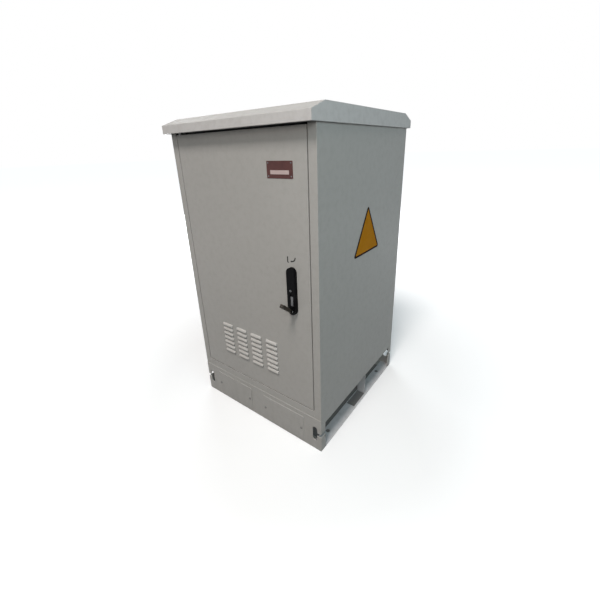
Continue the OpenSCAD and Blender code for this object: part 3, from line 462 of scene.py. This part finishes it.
def screwTree(s):
    tree, sheet, given = newTree("buttonScrews", {
        "Head radius": "Float", "Head height": "Float", "Shank radius": "Float",
        "Shank length": "Float", "Turn": "Vector", "Material": "Material"})
    radius, height, shank = given["Head radius"], given["Head height"], given["Shank length"]

    def lifted(mesh, z):
        offset = sheet.node("ShaderNodeCombineXYZ", None, {2: z})
        return sheet.node("GeometryNodeTransform", None, {"Geometry": mesh, "Translation": offset})

    def cylinder(r, depth, vertices):
        return sheet.node("GeometryNodeMeshCylinder", None, {
            "Vertices": vertices, "Radius": r, "Depth": depth})

    skirt = lifted(cylinder(radius, height * s["skirt"], s["sides"]), height * (s["skirt"] / 2))
    cone = sheet.node("GeometryNodeMeshCone", None, {
        "Vertices": s["sides"], "Radius Top": radius * s["crown"], "Radius Bottom": radius,
        "Depth": height * (1 - s["skirt"])})
    crown = lifted(cone, height * s["skirt"])
    stem = lifted(cylinder(given["Shank radius"], shank, s["stemSides"]), shank * -0.5)
    hexagon = lifted(cylinder(radius * s["socket"], height * s["socketReach"], 6), height)
    solid = sheet.node("GeometryNodeMeshBoolean", {"operation": "UNION"},
                       {"Mesh 2": [skirt, crown, stem]})
    screw = sheet.node("GeometryNodeMeshBoolean", {"operation": "DIFFERENCE"},
                       {"Mesh 1": solid, "Mesh 2": hexagon})
    placed = sheet.node("GeometryNodeInstanceOnPoints", None, {
        "Points": given["Points"], "Instance": screw, "Rotation": given["Turn"]})
    endTree(sheet, placed, given["Material"])
    return tree


buttonScrews = screwTree(screwSet)
outFront, outBack, outDown = (quarter, 0, 0), (-quarter, 0, 0), (math.pi, 0, 0)
outLeft, outRight = (0, -quarter, 0), (0, quarter, 0)


def screws(name, s, points, turn, finish):
    return grown(name, buttonScrews, points, {
        "Head radius": s["headRadius"], "Head height": s["headHeight"],
        "Shank radius": s["shankRadius"], "Shank length": s["shankLength"],
        "Turn": turn, "Material": finish})


coverScrewSet = {"headRadius": 0.005, "headHeight": 0.003, "shankRadius": 0.0025,
                 "shankLength": 0.009, "inFromEnd": 0.011}
s = coverScrewSet
points = []
for cover in ("plinth_cover_left", "plinth_cover_right"):
    low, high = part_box(cover)
    middle = (low + high) / 2
    for x in (low.x + s["inFromEnd"], high.x - s["inFromEnd"]):
        points.append((x, low.y, middle.z))
newPiece("coverScrews", screws("coverScrews", s, points, outFront, dullZinc),
         "cabinet", ["plinth_cover_screws"])

rackBoltSet = {"headRadius": 0.0048, "headHeight": 0.0036, "shankRadius": 0.003,
               "shankLength": 0.010, "strutHalf": 0.015, "railSheet": 0.002}
s = rackBoltSet
low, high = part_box("rack_struts")
boltHeights = (low.z + s["strutHalf"], high.z - s["strutHalf"])
rackMeshes = []
for side, turn in (("left", outRight), ("right", outLeft)):
    points = []
    for end in ("front", "rear"):
        railLow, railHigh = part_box("rack_rail_%s_%s" % (end, side))
        wall = railLow.x + s["railSheet"] if side == "left" else railHigh.x - s["railSheet"]
        points += [(wall, (railLow.y + railHigh.y) / 2, z) for z in boltHeights]
    rackMeshes.append(screws("rackBolts", s, points, turn, steel))
joined = bmesh.new()
for mesh in rackMeshes:
    joined.from_mesh(mesh)
joined.to_mesh(rackMeshes[0])
joined.free()
newPiece("rackBolts", rackMeshes[0], "cabinet", ["rack_bolts"])

roofBoltSet = {"headRadius": 0.0064, "headHeight": 0.0048, "shankRadius": 0.004,
               "shankLength": 0.034}
s = roofBoltSet
low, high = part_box("roof_bolts")
reach = s["headRadius"]
points = [(x, y, low.z + s["headHeight"])
          for x in (low.x + reach, high.x - reach) for y in (low.y + reach, high.y - reach)]
newPiece("roofBolts", screws("roofBolts", s, points, outDown, zinc),
         "cabinet", ["roof_bolts"])

lockScrewSet = {"headRadius": 0.005, "headHeight": 0.003, "shankRadius": 0.0025,
                "shankLength": 0.011}
s = lockScrewSet
low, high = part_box("lock_screws")
reach = s["headRadius"]
points = [((low.x + high.x) / 2, high.y - s["headHeight"], z)
          for z in (low.z + reach, high.z - reach)]
newPiece("lockScrews", screws("lockScrews", s, points, outBack, zinc),
         "door", ["lock_screws"])

camScrewSet = {"headRadius": 0.007, "headHeight": 0.0015, "shankRadius": 0.0025,
               "shankLength": 0.014}
s = camScrewSet
low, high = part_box("cam_screw")
points = [((low.x + high.x) / 2, high.y - s["headHeight"], (low.z + high.z) / 2)]
newPiece("camScrew", screws("camScrew", s, points, outBack, steel),
         "hub", ["cam_screw"])
print("screws made")


# Filter mat: a felted slab whose two faces swell between its fibres
# shy keeps it off its frame, rest is the noise value at which a face stays where it is
filterSet = {"step": 0.004, "layers": 4, "swell": 0.0011, "scale": 70, "rest": 0.75,
             "shy": 0.0004}


def filterTree(s):
    tree, sheet, given = newTree("feltedMat", {
        "Size": "Vector", "Step": "Float", "Swell": "Float", "Scale": "Float",
        "Material": "Material"})

    def count(number):
        length = sheet.axis(given["Size"], number)
        return sheet.node("FunctionNodeFloatToInt", None, {0: length / given["Step"]})

    slab = sheet.node("GeometryNodeMeshCube", None, {
        "Size": given["Size"], "Vertices X": count(0), "Vertices Y": s["layers"],
        "Vertices Z": count(2)})
    place = sheet.node("GeometryNodeInputPosition")
    normal = sheet.node("GeometryNodeInputNormal")
    lump = sheet.noise(place, given["Scale"], 3, 0.6)
    depth = sheet.node("ShaderNodeVectorMath", {"operation": "SCALE"},
                       {0: normal, "Scale": (lump - s["rest"]) * given["Swell"]})
    swollen = sheet.node("GeometryNodeSetPosition", None, {"Geometry": slab, "Offset": depth})
    placed = sheet.node("GeometryNodeInstanceOnPoints", None, {
        "Points": given["Points"], "Instance": swollen})
    smooth = sheet.node("GeometryNodeSetShadeSmooth", None, {"Geometry": placed})
    endTree(sheet, smooth, given["Material"])
    return tree


s = filterSet
low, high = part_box("filter_mat")
shy = Vector((s["shy"],) * 3)
matMesh = grown("filterMat", filterTree(s), [(low + high) / 2], {
    "Size": (high - low) - 2 * shy, "Step": s["step"], "Swell": s["swell"],
    "Scale": s["scale"], "Material": felt})
filterMat = newPiece("filterMat", matMesh, "door", ["filter_mat"])
print("filter mat:", len(matMesh.polygons), "faces")


# Flat plates, built from rings of the same number of points

def roundOutline(corners, radius, inset=0.0, steps=8, sharpest=0.0004):
    # outline of a convex polygon with round corners, moved inwards by inset
    points = []
    count = len(corners)
    bend = max(radius - inset, sharpest)
    for k, corner in enumerate(corners):
        before = (Vector(corners[k - 1]) - Vector(corner)).normalized()
        after = (Vector(corners[(k + 1) % count]) - Vector(corner)).normalized()
        half = before.angle(after) / 2
        inwards = (before + after).normalized()
        hub = Vector(corner) + inwards * ((inset + bend) / math.sin(half))
        start = math.atan2(before.x, -before.y)
        sweep = math.pi - 2 * half
        for step in range(steps + 1):
            angle = start + sweep * (step / steps)
            points.append(hub + Vector((math.cos(angle), math.sin(angle))) * bend)
    return points


def ringPlate(name, rings, finishes, onto):
    # each ring is an outline, its height and the finish number of the strip that ends there
    # onto turns a place in the plate's plane and a height into a point
    shape = bmesh.new()
    last = None
    for outline, height, number in rings:
        ring = [shape.verts.new(onto(p.x, p.y, height)) for p in outline]
        if last:
            for k in range(len(ring)):
                j = (k + 1) % len(ring)
                shape.faces.new((last[k], last[j], ring[j], ring[k])).material_index = number
        else:
            shape.faces.new(ring).material_index = number
        last = ring
    shape.faces.new(last).material_index = number
    bmesh.ops.recalc_face_normals(shape, faces=shape.faces)
    mesh = bpy.data.meshes.new(name)
    shape.to_mesh(mesh)
    shape.free()
    for finish in finishes:
        mesh.materials.append(finish)
    return mesh


# Plain reflector on the right side panel
reflectorSet = {"side": 0.2060, "corner": 0.007, "rim": 0.0076, "thick": 0.0009, "sunk": 0.0004,
                "lip": 0.0002, "base": 0.7073, "middle": -0.001}
s = reflectorSet
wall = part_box("right_side_panel")[1].x
half, rise = s["side"] / 2, s["side"] * math.sqrt(3) / 2
corners = [(s["middle"] - half, s["base"]), (s["middle"] + half, s["base"]),
           (s["middle"], s["base"] + rise)]
outer = roundOutline(corners, s["corner"])
brow = roundOutline(corners, s["corner"], s["lip"])
inner = roundOutline(corners, s["corner"], s["rim"])
rings = [(outer, 0.0, 1), (outer, s["thick"] - s["lip"], 1), (brow, s["thick"], 1),
         (inner, s["thick"], 1), (inner, s["thick"] - s["sunk"], 0)]
mesh = ringPlate("sideReflector", rings, [amber, darkRim], lambda u, v, h: (wall + h, u, v))
newPiece("sideReflector", mesh, "cabinet")


# Blank strip on the nameplate
stripPlateSet = {"width": 0.072, "height": 0.0115, "corner": 0.0008, "thick": 0.0003,
                 "down": 0.0075}
s = stripPlateSet
low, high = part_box("nameplate")
middle = (low + high) / 2
w, h = s["width"] / 2, s["height"] / 2
x, z = middle.x, middle.z - s["down"]
corners = [(x - w, z - h), (x + w, z - h), (x + w, z + h), (x - w, z + h)]
outline = roundOutline(corners, s["corner"])
mesh = ringPlate("nameStrip", [(outline, 0.0, 0), (outline, s["thick"], 0)], [paleStrip],
                 lambda u, v, t: (u, low.y - t, v))
newPiece("nameStrip", mesh, "door")


# Printed marks above the lock: a bar for shut, an arc with its point for open
markSet = {"ink": 0.00012, "stroke": 0.0042, "low": 0.7412, "high": 0.7618, "barX": 0.2025,
           "foot": 0.0036, "arcX": 0.2205, "arcRadius": 0.0170, "arcSteps": 12,
           "pointLength": 0.0050, "pointHalf": 0.0036}
s = markSet
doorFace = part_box("nameplate")[1].y


def inked(name, shapes, thick):
    # flat outlines in the door's plane, raised by the ink's thickness
    ink = bmesh.new()
    for outline in shapes:
        under = [ink.verts.new((u, doorFace, v)) for u, v in outline]
        over = [ink.verts.new((u, doorFace - thick, v)) for u, v in outline]
        ink.faces.new(under)
        ink.faces.new(over)
        for k in range(len(under)):
            j = (k + 1) % len(under)
            ink.faces.new((under[k], under[j], over[j], over[k]))
    bmesh.ops.recalc_face_normals(ink, faces=ink.faces)
    mesh = bpy.data.meshes.new(name)
    ink.to_mesh(mesh)
    ink.free()
    mesh.materials.append(printBlack)
    newPiece(name, mesh, "door")


right = s["barX"] + s["stroke"]
bar = [(s["barX"], s["low"]), (right, s["low"]), (right, s["high"]), (s["barX"], s["high"])]
foot = [(right, s["low"]), (right + s["foot"], s["low"]), (right, s["low"] + s["foot"])]
inked("shutMark", [bar, foot], s["ink"])
arcOut, arcIn = [], []
for step in range(s["arcSteps"] + 1):
    angle = -quarter + quarter * step / s["arcSteps"]
    for points, radius in ((arcOut, s["arcRadius"]), (arcIn, s["arcRadius"] - s["stroke"])):
        points.append((s["arcX"] + radius * math.cos(angle), s["high"] + radius * math.sin(angle)))
lineZ = s["high"] - s["arcRadius"] + s["stroke"] / 2
point = [(s["arcX"] - s["pointLength"], lineZ), (s["arcX"], lineZ - s["pointHalf"]),
         (s["arcX"], lineZ + s["pointHalf"])]
inked("openMark", [arcOut + arcIn[::-1], point], s["ink"])
print("plates and marks made")


# Camera, floor and light

# focal length, centre and frame are in pixels of the picture
cameraSet = {"place": (0.84287, -1.08838, 1.08064), "azimuth": 37.14989, "elevation": 20.60382,
             "roll": -1.94516, "focal": 325.591, "centre": (302.937, 271.830), "frame": 600,
             "sensor": 36.0, "clip": 0.05}


def placeCamera(s):
    azimuth, elevation, roll = (math.radians(s[k]) for k in ("azimuth", "elevation", "roll"))
    level = math.cos(elevation)
    back = Vector((math.sin(azimuth) * level, -math.cos(azimuth) * level, math.sin(elevation)))
    right = (-back).cross(Vector((0, 0, 1))).normalized()
    up = right.cross(-back)
    turned = right * math.cos(roll) + up * math.sin(roll)
    lifted = up * math.cos(roll) - right * math.sin(roll)
    data = bpy.data.cameras.new("camera")
    data.sensor_fit = "HORIZONTAL"
    data.sensor_width = s["sensor"]
    data.lens = s["sensor"] * s["focal"] / s["frame"]
    data.shift_x = 0.5 - s["centre"][0] / s["frame"]
    data.shift_y = s["centre"][1] / s["frame"] - 0.5
    data.clip_start = s["clip"]
    camera = bpy.data.objects.new("camera", data)
    camera.matrix_world = Matrix((turned, lifted, back)).transposed().to_4x4()
    camera.location = s["place"]
    scene.collection.objects.link(camera)
    scene.camera = camera


placeCamera(cameraSet)


def seenDirectly(sheet):
    # 1 for what the camera, a mirror or a glass shows, 0 for light that falls on the object
    straight, mirrored, through = (
        sheet.node("ShaderNodeLightPath", out=ray)
        for ray in ("Is Camera Ray", "Is Glossy Ray", "Is Transmission Ray"))
    return sheet.node("ShaderNodeMath", {"operation": "ADD", "use_clamp": True},
                      {0: straight + mirrored, 1: through})


# the seen floor has a painted shadow under the plinth and whitens outwards until it meets the white
# backdrop
floorSet = {"size": 120.0, "seen": (0.945, 0.970, 0.985), "under": (0.150, 0.152, 0.152),
            "bounce": (0.100, 0.100, 0.102), "paintedShadowFootprint": (0.3225, 0.3245), "lift": (0.12, 0.95),
            "liftReach": (0.70, 2.60), "drop": 0.0005}


def makeFloor(s):
    half = s["size"] / 2
    corners = [(-half, -half, 0), (half, -half, 0), (half, half, 0), (-half, half, 0)]
    mesh = bpy.data.meshes.new("floor")
    mesh.from_pydata(corners, [], [(0, 1, 2, 3)])
    material, sheet, place = newFinish("paleFloor")
    x, y = sheet.axis(place, 0), sheet.axis(place, 1)
    outwards = (x * x + y * y) ** 0.5
    squarely = x.math("MAXIMUM", x.math("ABSOLUTE", x), y.math("ABSOLUTE", y))
    # under is the tone of the painted shadow inside the cabinet's footprint
    outsidePaintedShadow = sheet.band(squarely, 0.0, 1.0, *s["paintedShadowFootprint"])
    colour = sheet.mix(outsidePaintedShadow, rgba(s["under"]), rgba(s["seen"]))
    dull = sheet.node("ShaderNodeBsdfDiffuse", None, {"Color": rgba(s["bounce"])})
    pale = sheet.node("ShaderNodeBsdfDiffuse", None, {"Color": colour})
    glow = sheet.node("ShaderNodeEmission", None, {
        "Color": colour, "Strength": sheet.band(outwards, *s["lift"], *s["liftReach"])})
    lifted = sheet.node("ShaderNodeAddShader", None, {0: pale, 1: glow})
    both = sheet.node("ShaderNodeMixShader", None, {0: seenDirectly(sheet), 1: dull, 2: lifted})
    sheet.node("ShaderNodeOutputMaterial", None, {"Surface": both})
    mesh.materials.append(material)
    floor = bpy.data.objects.new("floor", mesh)
    floor.location.z = -s["drop"]
    scene.collection.objects.link(floor)


makeFloor(floorSet)

# soft boxes: the key from high in front, two weak ones near the front and side, one for the back
lightSet = {"sky": (0.92, 1.00, 1.03), "skyStrength": 0.095, "backdrop": (1.0, 1.0, 1.0), "boxes": {
    "keyBox": {"power": 312.0, "size": 1.70, "place": (0.90, -3.40, 6.60),
               "aim": (0.0, -0.3, 0.6), "colour": (1.00, 0.910, 0.865)},
    "frontBox": {"power": 18.0, "size": 1.30, "place": (1.30, -2.00, 1.75),
                 "aim": (0.0, -0.3, 0.7), "colour": (1.00, 0.930, 0.880)},
    "sideBox": {"power": 11.0, "size": 1.40, "place": (1.90, -0.75, 2.20),
                "aim": (0.3, 0.0, 0.7), "colour": (0.68, 1.00, 1.10)},
    "backBox": {"power": 170.0, "size": 3.0, "place": (-3.60, 3.40, 1.10),
                "aim": (0.0, 0.0, 0.6), "colour": (0.95, 1.00, 1.02)}}}


def makeLight(s):
    world = bpy.data.worlds.new("studio")
    world.use_nodes = True
    world.node_tree.nodes.clear()
    sheet = Sheet(world.node_tree)
    sky = sheet.node("ShaderNodeBackground", None, {
        "Color": rgba(s["sky"]), "Strength": s["skyStrength"]})
    backdrop = sheet.node("ShaderNodeBackground", None, {
        "Color": rgba(s["backdrop"]), "Strength": 1.0})
    both = sheet.node("ShaderNodeMixShader", None, {0: seenDirectly(sheet), 1: sky, 2: backdrop})
    sheet.node("ShaderNodeOutputWorld", None, {"Surface": both})
    scene.world = world
    for name, box in s["boxes"].items():
        data = bpy.data.lights.new(name, "AREA")
        data.energy = box["power"]
        data.size = box["size"]
        data.color = box["colour"]
        lamp = bpy.data.objects.new(name, data)
        lamp.location = box["place"]
        away = Vector(box["place"]) - Vector(box["aim"])
        lamp.rotation_euler = away.to_track_quat("Z", "Y").to_euler()
        scene.collection.objects.link(lamp)


makeLight(lightSet)
scene.view_settings.view_transform = "Standard"
print("camera, floor and light set")
